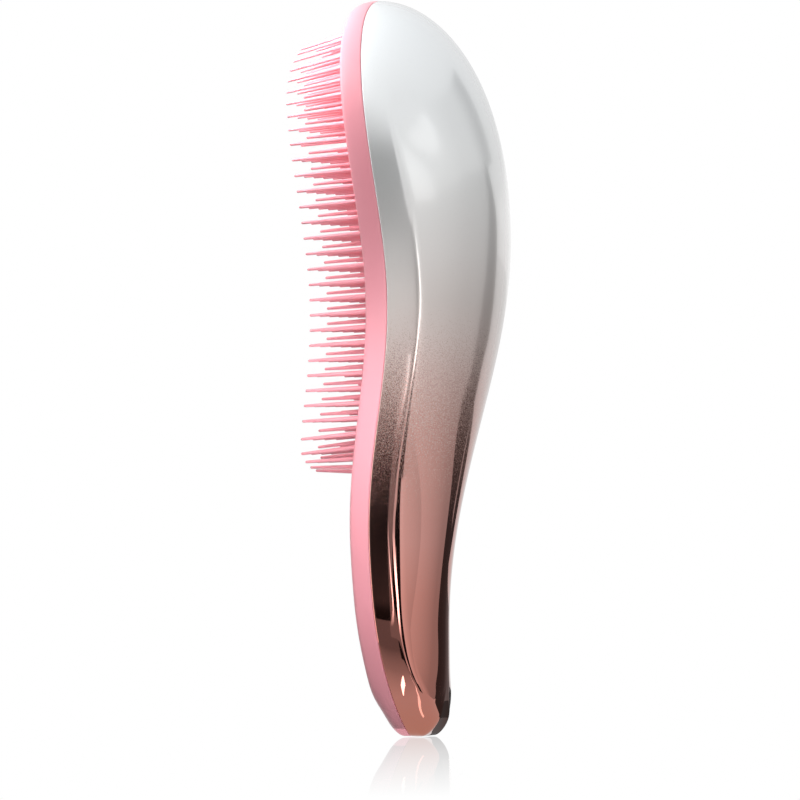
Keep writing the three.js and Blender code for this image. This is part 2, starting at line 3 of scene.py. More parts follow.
import bmesh
import bpy
import numpy as np
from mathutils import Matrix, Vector


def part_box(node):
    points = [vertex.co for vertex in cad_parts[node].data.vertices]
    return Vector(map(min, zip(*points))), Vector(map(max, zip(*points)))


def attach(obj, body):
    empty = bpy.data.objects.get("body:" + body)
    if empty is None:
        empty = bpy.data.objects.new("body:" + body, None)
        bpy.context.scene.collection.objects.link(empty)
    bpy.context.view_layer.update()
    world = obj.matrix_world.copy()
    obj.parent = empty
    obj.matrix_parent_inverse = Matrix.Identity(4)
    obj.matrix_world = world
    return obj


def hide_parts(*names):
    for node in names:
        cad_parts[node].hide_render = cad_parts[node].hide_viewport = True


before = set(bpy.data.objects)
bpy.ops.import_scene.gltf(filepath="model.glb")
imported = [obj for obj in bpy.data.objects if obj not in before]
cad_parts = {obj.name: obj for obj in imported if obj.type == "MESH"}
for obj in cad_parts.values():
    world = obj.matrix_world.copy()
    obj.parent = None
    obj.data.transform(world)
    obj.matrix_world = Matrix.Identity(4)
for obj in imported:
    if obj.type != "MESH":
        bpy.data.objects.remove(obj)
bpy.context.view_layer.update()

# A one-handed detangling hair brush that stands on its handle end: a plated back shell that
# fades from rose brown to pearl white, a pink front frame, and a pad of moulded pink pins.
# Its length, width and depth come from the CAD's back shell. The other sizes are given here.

MM = 0.001

# ------------------------------------------------------------------ sizes, millimetres

_, shell_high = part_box("back_shell")
LENGTH = shell_high.z / MM
HEAD_HALF = shell_high.x / MM
HEAD_BACK_Y = shell_high.y / MM

HEAD_WIDEST_Z = 140
WAIST_HALF = 14.1
WAIST_Z = 35
FOOT_HALF = 5
END_CURVE = {"across": 1.8, "up": 2.2}
HEAD_CURVE = {"across": 2.1, "up": 2.4}

SEAM_FOOT_Y = -0.8
SEAM_BELLY_Y = -9.05
SEAM_BELLY_Z = 49
SEAM_HOLLOW_Y = 1.1
SEAM_HOLLOW_Z = 117
HEAD_SWEEP = 0.21
HEAD_SWEEP_START = 20

SHELL_WALL = 2
GRIP_SIDE_HEIGHT = 7
HEAD_SIDE_HEIGHT = 9
END_SIDE_RISE = 1.8
END_RISE_Z = 9
END_RISE_REACH = 7
TOP_SIDE_FALL = 2.2
SIDE_DRAFT = 0.6
END_DRAFT = 3.6
END_DRAFT_REACH = 9
END_DRAFT_CURVE = 1.6
CREASE_RADIUS = 1.3
CREASE_FADE_FROM_Z = 152
CREASE_FADE_TO_Z = 172
MELT_SHARE = 0.6  # share of the way to the spine where the turn round it alone sets the melt
GRIP_BACK_Y = 7.4
RIDGE_RISE_FROM_Z = 28
SPINE_TOP_Z = 130
SPINE_TOP_SOFT = 9  # the turn into the head's round is eased over about this length
SPINE_FOOT_Z = 14
SPINE_FOOT_SOFT = 2
DOME_CURVE = 2.1
TOP_CURVE = 1.96
FOOT_DEPTH = 3.2
FOOT_FLAT_REACHES = 2  # the foot's flat fades out over this many times the slope's reach

FRAME_WALL = 2
GRIP_BAND = 5.3
HEAD_BAND = 6.1
END_BAND_RISE = 0.4
BAND_DRAFT = 0.8
TOP_SLOPE = 1.2
TOP_SLOPE_REACH = 30
TOP_SLOPE_CURVE = 1.5
FOOT_SLOPE = 4.6
FOOT_SLOPE_REACH = 7.5
FOOT_SLOPE_CURVE = 2.4
EDGE_RADIUS = 1.2
GRIP_CROWN = 1.8
FRAME_FOOT_DEPTH = 1.4
BAND_LINING_START = 0.4  # share of the band, from the parting line, where its lining starts
FACE_LINING_START = 0.3  # share of the way to the spine where the face's lining starts

PARTING_GAP = 0.2
SHOWN_GAP = 0.06  # the parting line between the dressed pieces, drawn finer than in the CAD
RIM_RADIUS = 0.3  # small rounds on both sides of the parting line
LIP = 1
REBATE = 1.7
TONGUE = 1.3

WINDOW_MARGIN = 5.4
WINDOW_LIP = 0.5  # round on the window's front edge
HEEL_Z = 80
HEEL_JOIN = 0.5  # points of the outline nearer than this above the heel are left out
WINDOW_END_Z = 66.3
WINDOW_CUT = 4  # how far the window's cutter stands out of the frame
CLEARANCE = 0.3
PAD_OVERLAP = 1.7
PAD_THICKNESS = 1.5
FACE_RECESS = 1

PIN_PITCH = 4.07
PIN_SPACING = 8
PIN_EDGE = 1.6
SECOND_ROW = 4
SECOND_ROW_PHASE = 0.4
SECOND_ROW_LEAST = 2  # a second row with less half width than this is left out
LONG_PIN = 17.8
MIDDLE_PIN = 14.5
SHORT_PIN = 11.6
HEEL_PIN_CUT = 2.6
HEEL_CUT_FROM_Z = 75
CROWN_PIN_CUT = 1.3
CROWN_CUT_FROM_Z = 172
PIN_ROOT = 0.62
PIN_TIP = 0.36
PIN_FLARE = 0.45  # what the root's fillet adds to a pin's radius
PIN_FLARE_LENGTH = 1.1
PIN_FLARE_CURVE = 2.5
PIN_SHANK_SHARES = (0.33, 0.67, 1)
PIN_TIP_TURNS = (30, 55, 78)  # degrees from the shank towards the point
PIN_SINK = 0.6
LEAST_GAP = 2.6

# The pins' splay and leans in degrees, with the places and reaches of the leans.
PIN_SPLAY = 3
LOWER_LEAN = 3
UPPER_LEAN = 5.5
CROWN_LEAN = 11
HEEL_LEAN = 4
HEEL_LEAN_Z = 76
HEEL_LEAN_REACH = 4
END_LEAN = -5
END_LEAN_Z = 67
END_LEAN_REACH = 3

FOOT_STEPS = 4
END_STEPS = 64
FLANK_STEPS = 120
TOP_STEPS = 96
WALL_STEPS = 12
CREASE_STEPS = 12
DOME_STEPS = 44
DOME_SPACING = 1.15  # above 1 the dome's points lie closer together near the crease
ROUND_STEPS = 6
ROUND_SAMPLES = 240
FACE_STEPS = 12
LINING_STEPS = 8
PIN_SIDES = 12
PIN_FLARE_STEPS = 4
WELD = 0.002  # points nearer than this become one
SHARP_ANGLE = 35  # an edge that turns by more degrees than this is shaded sharp
WINDOW_SHARP_ANGLE = 30


# ------------------------------------------------------------------ lines of the brush

def lerp(a, b, t):
    return a + (b - a) * t


def ease(a, b, t):
    """Runs from a to b as t runs from 0 to 1, with level ends."""
    return lerp(a, b, (1 - np.cos(math.pi * np.clip(t, 0, 1))) / 2)


def along(start, end, value):
    return (value - start) / (end - start)


def near(place, reach, z):
    """1 at a place, fading to 0 over a reach to both sides of it."""
    return np.exp(-(((z - place) / reach) ** 2))


def seam_y(z):
    """Forward or back place of the parting line: an S in the side view."""
    z = np.asarray(z, float)
    foot = SEAM_BELLY_Y + (SEAM_FOOT_Y - SEAM_BELLY_Y) * along(SEAM_BELLY_Z, 0, z) ** 2
    middle = ease(SEAM_BELLY_Y, SEAM_HOLLOW_Y, along(SEAM_BELLY_Z, SEAM_HOLLOW_Z, z))
    rise = np.hypot(HEAD_SWEEP_START, z - SEAM_HOLLOW_Z) - HEAD_SWEEP_START
    head = SEAM_HOLLOW_Y - HEAD_SWEEP * rise
    return np.where(z < SEAM_BELLY_Z, foot, np.where(z < SEAM_HOLLOW_Z, middle, head))


def band_height(z):
    main = ease(GRIP_BAND, HEAD_BAND, along(WAIST_Z, SEAM_HOLLOW_Z, z))
    return main + END_BAND_RISE * near(END_RISE_Z, END_RISE_REACH, z)


def front_y(z):
    return seam_y(z) - PARTING_GAP - band_height(z)


def ridge_y(z):
    return ease(GRIP_BACK_Y, HEAD_BACK_Y, along(RIDGE_RISE_FROM_Z, SPINE_TOP_Z, z))


def side_height(z):
    """Height of the shell's side wall, from the seam to the crease."""
    main = ease(GRIP_SIDE_HEIGHT, HEAD_SIDE_HEIGHT, along(SEAM_BELLY_Z, SEAM_HOLLOW_Z, z))
    fall = ease(0, TOP_SIDE_FALL, along(SPINE_TOP_Z, CREASE_FADE_TO_Z, z))
    return main - fall + END_SIDE_RISE * near(END_RISE_Z, END_RISE_REACH, z)


def softplus(value, soft):
    return soft * np.logaddexp(0, value / soft)


def spine_z(z):
    """Height of the spine point that the outline faces at a height."""
    below_top = SPINE_TOP_Z - softplus(SPINE_TOP_Z - z, SPINE_TOP_SOFT)
    return SPINE_FOOT_Z + softplus(below_top - SPINE_FOOT_Z, SPINE_FOOT_SOFT)


def outline():
    """Points of the right-hand outline from the foot to the head top, as rows of x, z."""
    foot = [[FOOT_HALF * i / FOOT_STEPS, 0] for i in range(FOOT_STEPS)]
    angle = np.arange(END_STEPS) / END_STEPS * math.pi / 2
    across = np.sin(angle) ** (2 / END_CURVE["across"])
    down = np.cos(angle) ** (2 / END_CURVE["up"])
    end = np.column_stack([lerp(FOOT_HALF, WAIST_HALF, across), WAIST_Z * (1 - down)])
    t = np.arange(FLANK_STEPS) / FLANK_STEPS
    flank = np.column_stack([ease(WAIST_HALF, HEAD_HALF, t), lerp(WAIST_Z, HEAD_WIDEST_Z, t)])
    angle = np.arange(TOP_STEPS + 1) / TOP_STEPS * math.pi / 2
    across = np.abs(np.cos(angle)) ** (2 / HEAD_CURVE["across"])
    up = np.sin(angle) ** (2 / HEAD_CURVE["up"])
    top = np.column_stack([HEAD_HALF * across, lerp(HEAD_WIDEST_Z, LENGTH, up)])
    top[-1, 0] = 0
    return np.vstack([foot, end, flank, top])


# ------------------------------------------------------------------ mesh helpers

def new_piece(name, points, faces):
    """A smooth-shaded mesh object from points in millimetres, with its faces turned outwards."""
    mesh = bpy.data.meshes.new(name)
    mesh.from_pydata([tuple(np.asarray(p, float) * MM) for p in points], [], faces)
    tidy = bmesh.new()
    tidy.from_mesh(mesh)
    bmesh.ops.remove_doubles(tidy, verts=tidy.verts, dist=WELD * MM)
    bmesh.ops.recalc_face_normals(tidy, faces=tidy.faces)
    tidy.to_mesh(mesh)
    tidy.free()
    mesh.shade_smooth()
    mesh.set_sharp_from_angle(angle=math.radians(SHARP_ANGLE))
    piece = bpy.data.objects.new(name, mesh)
    bpy.context.scene.collection.objects.link(piece)
    return piece


def loft_round(name, section):
    """Lofts one section round the brush. A section is rows of inset, y from spine to spine."""
    right = outline()
    left = right[1:-1][::-1] * [-1, 1]
    points = []
    for x, z in np.vstack([right, left]):
        spine = float(spine_z(z))
        reach = math.hypot(x, z - spine)
        rows = section(x, z, spine, reach)
        t = np.minimum(1, rows[:, 0] / reach)
        points.append(np.column_stack([x * (1 - t), rows[:, 1], lerp(z, spine, t)]))
    width = len(points[0])
    count = len(points)
    faces = []
    for i in range(count):
        following = (i + 1) % count
        for k in range(width - 1):
            a, b = i * width + k, following * width + k
            faces.append((a, b, b + 1, a + 1))
    return new_piece(name, np.vstack(points), faces)


def arc(centre, radius, start, end, steps):
    """Points on a circle, as rows of inset, y, between two angles in degrees."""
    angle = np.radians(np.linspace(start, end, steps + 1))
    inset, y = centre
    return np.column_stack([inset + radius * np.cos(angle), y + radius * np.sin(angle)])


def bend(first, corner, last, steps):
    """Points on a smooth bend round a corner, between two points that it leaves out."""
    s = np.linspace(0, 1, steps)[1:-1, None]
    return (1 - s) ** 2 * first + 2 * s * (1 - s) * corner + s**2 * last


def share_of_length(rows):
    """Each point's share of the way along a line."""
    steps = np.hypot(*np.diff(rows, axis=0).T)
    lengths = np.concatenate([[0], np.cumsum(steps)])
    return lengths / lengths[-1]


# ------------------------------------------------------------------ back shell

def creased_skin(z, spine, reach):
    """Side wall, rounded crease and dome at one station."""
    seam, height = float(seam_y(z)), float(side_height(z))
    crease, top = seam + height, float(ridge_y(spine))
    lean = SIDE_DRAFT + END_DRAFT * near(0, END_DRAFT_REACH, z)
    flat = FOOT_DEPTH / height * near(0, FOOT_FLAT_REACHES * END_DRAFT_REACH, z)
    shoulder = 1 - CREASE_RADIUS / height
    past = CREASE_RADIUS / (reach - lean)

    f = np.linspace(RIM_RADIUS / height, shoulder, WALL_STEPS)
    wall_inset = lean * np.clip(along(flat, 1, f), 0, 1) ** END_DRAFT_CURVE
    wall = np.column_stack([wall_inset, lerp(seam, crease, f)])
    t = past + (1 - past) * np.linspace(0, 1, DOME_STEPS) ** DOME_SPACING
    dome = np.column_stack([lerp(lean, reach, t), lerp(crease, top, 1 - (1 - t) ** DOME_CURVE)])
    rounded = bend(wall[-1], np.array([lean, crease]), dome[0], CREASE_STEPS)
    return np.vstack([wall, rounded, dome])


def round_skin(z, spine, reach, shares):
    """The head top's own round at one station, at shares of its length."""
    seam = float(seam_y(z))
    angle = np.linspace(0, math.pi / 2, ROUND_SAMPLES)
    inset = reach * (1 - np.cos(angle).clip(0) ** (2 / TOP_CURVE))
    y = lerp(seam, float(ridge_y(spine)), np.sin(angle) ** (2 / TOP_CURVE))
    curve = np.column_stack([inset, y])
    lengths = share_of_length(curve)
    rim = np.interp(seam + RIM_RADIUS, y, lengths)
    return np.column_stack([np.interp(lerp(rim, 1, shares), lengths, curve[:, k]) for k in (0, 1)])


def shell_skin(x, z, spine, reach):
    """Outside of the shell from the seam to the spine.

    Wall, crease and dome melt into one round curve at the head top, near the crease by height
    and near the spine by the turn round it.
    """
    creased = creased_skin(z, spine, reach)
    rounded = round_skin(z, spine, reach, share_of_length(creased))
    melt_at_crease = ease(0, 1, along(CREASE_FADE_FROM_Z, CREASE_FADE_TO_Z, z))
    melt_at_spine = ease(0, 1, math.atan2(z - spine, abs(x)) / (math.pi / 2))
    melted = ease(melt_at_crease, melt_at_spine, creased[:, :1] / reach / MELT_SHARE)
    return lerp(creased, rounded, melted)


def shell_lining(skin):
    """The skin moved inwards by the wall, without its crease.

    It follows two rows of the side wall and some of the dome, well clear of the crease.
    """
    past_crease = WALL_STEPS + CREASE_STEPS + 8
    before_spine = len(skin) - 3
    dome_rows = np.linspace(past_crease, before_spine, LINING_STEPS).astype(int)
    picks = np.array([2, WALL_STEPS - 4, *dome_rows])
    run = skin[picks + 1] - skin[picks - 1]
    run /= np.hypot(*run.T)[:, None]
    moved = skin[picks] + SHELL_WALL * np.column_stack([run[:, 1], -run[:, 0]])
    return np.vstack([moved, skin[-1] - [0, SHELL_WALL]])


def shell_section(x, z, spine, reach):
    skin = shell_skin(x, z, spine, reach)
    seam = float(seam_y(z))
    rim = arc([RIM_RADIUS, seam + RIM_RADIUS], RIM_RADIUS, 180, 270, ROUND_STEPS)[1:]
    rebate = [[LIP, seam], [LIP, seam + REBATE], [SHELL_WALL, seam + REBATE]]
    return np.vstack([skin[::-1], rim, rebate, shell_lining(skin)])


# ------------------------------------------------------------------ front frame

def crown(z):
    return ease(GRIP_CROWN, 0, along(SEAM_BELLY_Z, HEEL_Z, z))


def frame_section(_, z, spine, reach):
    rim = float(seam_y(z)) - SHOWN_GAP
    band = rim - float(front_y(z))
    top_share = np.clip(along(LENGTH - TOP_SLOPE_REACH, LENGTH, z), 0, 1) ** TOP_SLOPE_CURVE
    lean = BAND_DRAFT + TOP_SLOPE * top_share + FOOT_SLOPE * near(0, FOOT_SLOPE_REACH, z)
    flat = FRAME_FOOT_DEPTH / band * near(0, FOOT_FLAT_REACHES * FOOT_SLOPE_REACH, z)
    edge = 1 - EDGE_RADIUS / band

    def front_at(inset):
        return front_y(lerp(z, spine, np.minimum(1, inset / reach)))

    def wall(f):
        inset = lean * np.clip(along(flat, 1, f), 0, 1) ** FOOT_SLOPE_CURVE
        return np.column_stack([inset, front_at(inset) + (1 - f) * band])

    def face(t):
        inset = lerp(lean + EDGE_RADIUS, reach, t)
        return np.column_stack([inset, front_at(inset) - crown(spine) * (1 - (1 - t) ** 2)])

    front = face(np.linspace(1, 0, FACE_STEPS + 1))
    side = wall(np.linspace(edge, RIM_RADIUS / band, WALL_STEPS))
    corner = np.array([lean, float(front_at(lean))])
    edge_round = bend(front[-1], corner, side[0], ROUND_STEPS + 2)
    rim_round = arc([RIM_RADIUS, rim - RIM_RADIUS], RIM_RADIUS, 180, 90, ROUND_STEPS)[1:]
    tongue = [
        [LIP + PARTING_GAP, rim],
        [LIP + PARTING_GAP, rim + TONGUE],
        [FRAME_WALL, rim + TONGUE],
    ]
    low, high = wall(np.array([edge, max(flat, BAND_LINING_START)]))
    corner_back = FRAME_WALL + low[0]
    inside = [
        [FRAME_WALL + high[0], high[1]],
        [corner_back, float(front_at(corner_back)) + FRAME_WALL],
    ]
    back = face(np.linspace(FACE_LINING_START, 1, LINING_STEPS)) + [0, FRAME_WALL]
    return np.vstack([front, edge_round, side, rim_round, tongue, inside, back])


def window_edge(margin):
    """The right half of a line at a margin inside the outline, closed below by an ellipse.

    It runs up from its lowest point.
    """
    line = outline()
    before = np.vstack([line[:1], line[:-1]])
    after = np.vstack([line[1:], line[-2] * [-1, 1]])
    run = after - before
    run /= np.hypot(*run.T)[:, None]
    inset = line + margin * np.column_stack([-run[:, 1], run[:, 0]])
    side = inset[inset[:, 1] > WAIST_Z]

    def width_at(z):
        return np.interp(z, side[:, 1], side[:, 0])

    lowest = WINDOW_END_Z + margin - WINDOW_MARGIN
    angle = np.linspace(0, math.pi / 2, END_STEPS)[:-1]
    z = lerp(HEEL_Z, lowest, np.cos(angle))
    heel = np.column_stack([width_at(z) * np.sin(angle), z])
    flank = side[side[:, 1] > HEEL_Z + HEEL_JOIN]
    return np.vstack([heel, [width_at(HEEL_Z), HEEL_Z], flank])


def window_prism(name, rings):
    """A closed body that follows the front's S.

    A ring is a margin inside the outline and a depth behind the front.
    """
    edges = [window_edge(margin) for margin, _ in rings]
    count = min(len(edge) for edge in edges)
    points, faces = [], []
    for edge, (_, depth) in zip(edges, rings):
        picks = np.linspace(0, len(edge) - 1, count).round().astype(int)
        half = edge[picks]
        y = front_y(half[:, 1]) + depth
        points += [np.column_stack([half[:, 0], y, half[:, 1]])]
        points += [np.column_stack([-half[:, 0], y, half[:, 1]])]
    for ring in range(len(rings)):
        right, left = 2 * ring * count, (2 * ring + 1) * count
        for i in range(count - 1):
            if ring in (0, len(rings) - 1):
                faces.append((right + i, right + i + 1, left + i + 1, left + i))
            if ring + 1 < len(rings):
                step = 2 * count
                faces.append((right + i, right + i + 1, right + i + 1 + step, right + i + step))
                faces.append((left + i, left + i + 1, left + i + 1 + step, left + i + step))
    return new_piece(name, np.vstack(points), faces)


def front_frame():
    """The frame as one loft, with the window cut through it and a round on the window's edge."""
    body = loft_round("frame_moulding", frame_section)
    flare = [
        (WINDOW_MARGIN - WINDOW_LIP * (1 - math.sin(a)), WINDOW_LIP * (1 - math.cos(a)))
        for a in np.linspace(0, math.pi / 2, ROUND_STEPS)
    ]
    cutter = window_prism("window_cutter", [
        (WINDOW_MARGIN - WINDOW_LIP, -WINDOW_CUT),
        *flare,
        (WINDOW_MARGIN, FRAME_WALL + WINDOW_CUT),
    ])
    cut = body.modifiers.new("window", "BOOLEAN")
    cut.operation = "DIFFERENCE"
    cut.solver = "EXACT"
    cut.object = cutter
    apply_modifiers(body)
    bpy.data.objects.remove(cutter)
    body.data.shade_smooth()
    body.data.set_sharp_from_angle(angle=math.radians(WINDOW_SHARP_ANGLE))
    return body


def apply_modifiers(piece):
    depsgraph = bpy.context.evaluated_depsgraph_get()
    finished = bpy.data.meshes.new_from_object(piece.evaluated_get(depsgraph))
    piece.modifiers.clear()
    piece.data = finished


# ------------------------------------------------------------------ pin pad

def walk(edge, pitch):
    """Points at an even pitch along the right half of a line, from bottom to top."""
    lengths = np.concatenate([[0], np.cumsum(np.hypot(*np.diff(edge, axis=0).T))])
    count = round(lengths[-1] / pitch)
    goals = (np.arange(count) + 0.5) / count * lengths[-1]
    return np.column_stack([np.interp(goals, lengths, edge[:, k]) for k in (0, 1)])


def pin_roots():
    """Every pin's root as x, z, length, row by row."""
    outer = walk(window_edge(WINDOW_MARGIN + PIN_EDGE), PIN_PITCH)
    pins = [(side * x, z, LONG_PIN) for x, z in outer for side in (1, -1)]

    def add(x, z, length):
        if all(math.hypot(pin[0] - x, pin[1] - z) >= LEAST_GAP for pin in pins):
            pins.append((x, z, length))

    def add_between(half, z, length):
        count = round(2 * half / PIN_SPACING)
        for n in range(1, count):
            add(lerp(-half, half, n / count), z, length)

    for (x, z), above in zip(outer, [*outer[1:], None]):
        add_between(x, z, LONG_PIN)
        if above is None:
            continue
        half = (x + above[0]) / 2 - SECOND_ROW
        if half < SECOND_ROW_LEAST:
            continue
        second = lerp(z, above[1], SECOND_ROW_PHASE)
        add(half, second, MIDDLE_PIN)
        add(-half, second, MIDDLE_PIN)
        add_between(half, (z + above[1]) / 2, SHORT_PIN)
    return pins


def pin_axis(x, z):
    """Direction of a pin: forward, with a lean towards the handle and a splay outwards."""
    lean = ease(LOWER_LEAN, UPPER_LEAN, along(HEEL_Z, CREASE_FADE_FROM_Z, z))
    lean += ease(0, CROWN_LEAN, along(CREASE_FADE_FROM_Z, LENGTH - WINDOW_MARGIN, z))
    lean += HEEL_LEAN * near(HEEL_LEAN_Z, HEEL_LEAN_REACH, z)
    lean += END_LEAN * near(END_LEAN_Z, END_LEAN_REACH, z)
    lean = math.radians(lean)
    splay = math.radians(PIN_SPLAY) * x / HEAD_HALF
    axis = np.array([math.sin(splay), -math.cos(lean), -math.sin(lean)])
    return axis / np.linalg.norm(axis)


def pin_cut(z):
    """What the pins at the two ends of the field lack in length."""
    heel = np.clip(along(HEEL_CUT_FROM_Z, WINDOW_END_Z, z), 0, 1)
    top = np.clip(along(CROWN_CUT_FROM_Z, LENGTH - WINDOW_MARGIN, z), 0, 1)
    return HEEL_PIN_CUT * heel + CROWN_PIN_CUT * top


def pin_profile(length):
    """Stations along a pin, as distance from its root and radius: fillet, taper, round tip."""
    flare = [
        (PIN_FLARE_LENGTH * s, PIN_ROOT + PIN_FLARE * (1 - s) ** PIN_FLARE_CURVE)
        for s in np.linspace(0, 1, PIN_FLARE_STEPS + 1)
    ]
    shank = [
        (lerp(PIN_FLARE_LENGTH, length - PIN_TIP, s), lerp(PIN_ROOT, PIN_TIP, s))
        for s in PIN_SHANK_SHARES
    ]
    tip = [
        (length - PIN_TIP * (1 - math.sin(a)), PIN_TIP * math.cos(a))
        for a in np.radians(PIN_TIP_TURNS)
    ]
    return [(-PIN_SINK, PIN_ROOT + PIN_FLARE), *flare, *shank, *tip]


def pin_pad():
    """The pad's face and flange with all of its pins, as one moulding."""
    plate = window_prism("pin_pad", [
        (WINDOW_MARGIN + CLEARANCE, FACE_RECESS),
        (WINDOW_MARGIN + CLEARANCE, FRAME_WALL + CLEARANCE),
        (WINDOW_MARGIN - PAD_OVERLAP, FRAME_WALL + CLEARANCE),
        (WINDOW_MARGIN - PAD_OVERLAP, FRAME_WALL + CLEARANCE + PAD_THICKNESS),
    ])
    points, faces = [], []
    up = np.array([0.0, 0.0, 1.0])
    ring = np.linspace(0, 2 * math.pi, PIN_SIDES, endpoint=False)
    for x, z, full_length in pin_roots():
        axis = pin_axis(x, z)
        side = np.cross(axis, up)
        side /= np.linalg.norm(side)
        lift = np.cross(side, axis)
        root = np.array([x, float(front_y(z)) + FACE_RECESS, z])
        first = len(points)
        profile = pin_profile(full_length - pin_cut(z))
        for at, radius in profile:
            for angle in ring:
                offset = math.cos(angle) * side + math.sin(angle) * lift
                points.append(root + axis * at + radius * offset)
        last = first + (len(profile) - 1) * PIN_SIDES
        for row in range(first, last, PIN_SIDES):
            for k in range(PIN_SIDES):
                a, b = row + k, row + (k + 1) % PIN_SIDES
                faces.append((a, b, b + PIN_SIDES, a + PIN_SIDES))
        faces.append(tuple(range(first, first + PIN_SIDES)))
        faces.append(tuple(range(last + PIN_SIDES - 1, last - 1, -1)))
    pins = new_piece("pins", points, faces)
    return join_meshes(plate, pins)


def join_meshes(base, other):
    """Adds another object's mesh to the base object's."""
    joined = bmesh.new()
    joined.from_mesh(base.data)
    joined.from_mesh(other.data)
    joined.to_mesh(base.data)
    joined.free()
    bpy.data.objects.remove(other)
    return base


# ------------------------------------------------------------------ materials

def hex_linear(code):
    """An sRGB hex colour as linear RGBA."""
    parts = [int(code[i:i + 2], 16) / 255 for i in (1, 3, 5)]
    linear = [c / 12.92 if c <= 0.04045 else ((c + 0.055) / 1.055) ** 2.4 for c in parts]
    return (*linear, 1.0)


def grey(value):
    return (value, value, value, 1.0)


def add_node(tree, kind, inputs=None, ramp=None, **settings):
    """Adds a node to a tree.

    Inputs are values or other nodes' outputs. A ramp is pairs of place and colour.
    """
    node = tree.nodes.new(kind)
    for name, value in settings.items():
        setattr(node, name, value)
    for socket, value in (inputs or {}).items():
        if isinstance(value, bpy.types.NodeSocket):
            tree.links.new(value, node.inputs[socket])
        else:
            node.inputs[socket].default_value = value
    if ramp:
        stops = node.color_ramp.elements
        stops.remove(stops[1])
        stops[0].position, stops[0].color = ramp[0]
        for place, colour in ramp[1:]:
            stops.new(place).color = colour
    return node


def new_material(name):
    material = bpy.data.materials.new(name)
    material.use_nodes = True
    tree = material.node_tree
    tree.nodes.clear()
    return material, tree


def finish_material(tree, shader):
    add_node(tree, "ShaderNodeOutputMaterial", {"Surface": shader.outputs[0]})


def height_ramp(tree, height, stops):
    """A colour ramp up the brush. A stop is a height in millimetres and a colour."""
    return add_node(
        tree, "ShaderNodeValToRGB", {"Fac": height},
        ramp=[(z / LENGTH, colour) for z, colour in stops],
    ).outputs["Color"]


def mix_colours(tree, share, first, second):
    """Mixes two colours. The node's sockets 6, 7 and 2 are its colours A and B and its result."""
    mix = add_node(tree, "ShaderNodeMix", {"Factor": share}, data_type="RGBA")
    for socket, value in ((6, first), (7, second)):
        tree.links.new(value, mix.inputs[socket])
    return mix.outputs[2]


DROPLET = 0.19  # millimetres, coarser than real spray
DROPLET_EDGE = 0.18  # how softly a droplet's edge covers the plating
MOULD_GRAIN = 0.6
PLATING_ROUGHNESS = 0.035
PEARL_METALLIC = 0.45
PEARL_ROUGHNESS = 0.22

# Each stop is a height in millimetres, and a colour or a share.
PLATING_COLOURS = [
    (0, "#bd6f58"), (10, "#bf7464"), (25, "#c0786a"), (36, "#c27b6e"), (50, "#c4867c"),
    (100, "#b98d84"),
]
PEARL_COLOURS = [
    (50, "#c99c8f"), (71, "#cca89e"), (92, "#cfb8b1"), (112, "#d0c7c3"), (125, "#dbd7d5"),
    (145, "#e7e8e8"), (185, "#e8ecef"),
]
BARE_PLATING = [  # the higher the share, the more of the plating the droplets leave bare
    (50, 0.86), (61, 0.71), (71, 0.61), (82, 0.51), (92, 0.41), (100, 0.31), (112, 0.1),
]


def plated_lacquer():
    """Plated ABS sprayed with pearl lacquer under a clear gloss coat.

    The eye sees a sharp rose-brown mirror at the handle. Up the brush ever more droplets of
    pearl cover it, until the head is all pearl: brighter, softer in its reflections, but with
    the same sharp gloss on top. The droplets are drawn coarser than real spray, which would be
    too fine to show.
    """
    material, tree = new_material("plated_abs_pearl_fade")
    place = add_node(tree, "ShaderNodeTexCoord").outputs["Object"]
    parts = add_node(tree, "ShaderNodeSeparateXYZ", {"Vector": place})
    height = add_node(
        tree, "ShaderNodeMath", {0: parts.outputs["Z"], 1: LENGTH * MM}, operation="DIVIDE",
    ).outputs[0]

    spray = add_node(tree, "ShaderNodeTexNoise", {
        "Vector": place,
        "Scale": 1 / (DROPLET * MM),
        "Detail": 1.0,
        "Roughness": 0.5,
    }).outputs["Fac"]
    bare = height_ramp(tree, height, [(z, grey(share)) for z, share in BARE_PLATING])
    over = add_node(tree, "ShaderNodeMath", {0: spray, 1: bare}, operation="SUBTRACT").outputs[0]
    pearl = add_node(tree, "ShaderNodeMapRange", {
        "Value": over, "From Min": -DROPLET_EDGE, "From Max": DROPLET_EDGE,
    }).outputs["Result"]

    plating, lacquer = (
        height_ramp(tree, height, [(z, hex_linear(code)) for z, code in colours])
        for colours in (PLATING_COLOURS, PEARL_COLOURS)
    )
    shader = add_node(tree, "ShaderNodeBsdfPrincipled", {
        "Base Color": mix_colours(tree, pearl, plating, lacquer),
        "Metallic": add_node(tree, "ShaderNodeMapRange", {
            "Value": pearl, "To Min": 1.0, "To Max": PEARL_METALLIC,
        }).outputs["Result"],
        "Roughness": add_node(tree, "ShaderNodeMapRange", {
            "Value": pearl, "To Min": PLATING_ROUGHNESS, "To Max": PEARL_ROUGHNESS,
        }).outputs["Result"],
        "Coat Weight": 1.0,
        "Coat Roughness": 0.02,
        "Coat IOR": 1.5,
    })
    finish_material(tree, shader)
    return material


def mould_grain(tree):
    """The faint unevenness that a moulded surface takes from its mould."""
    place = add_node(tree, "ShaderNodeTexCoord").outputs["Object"]
    return add_node(tree, "ShaderNodeTexNoise", {
        "Vector": place, "Scale": 1 / (MOULD_GRAIN * MM), "Detail": 2.0,
    }).outputs["Fac"]


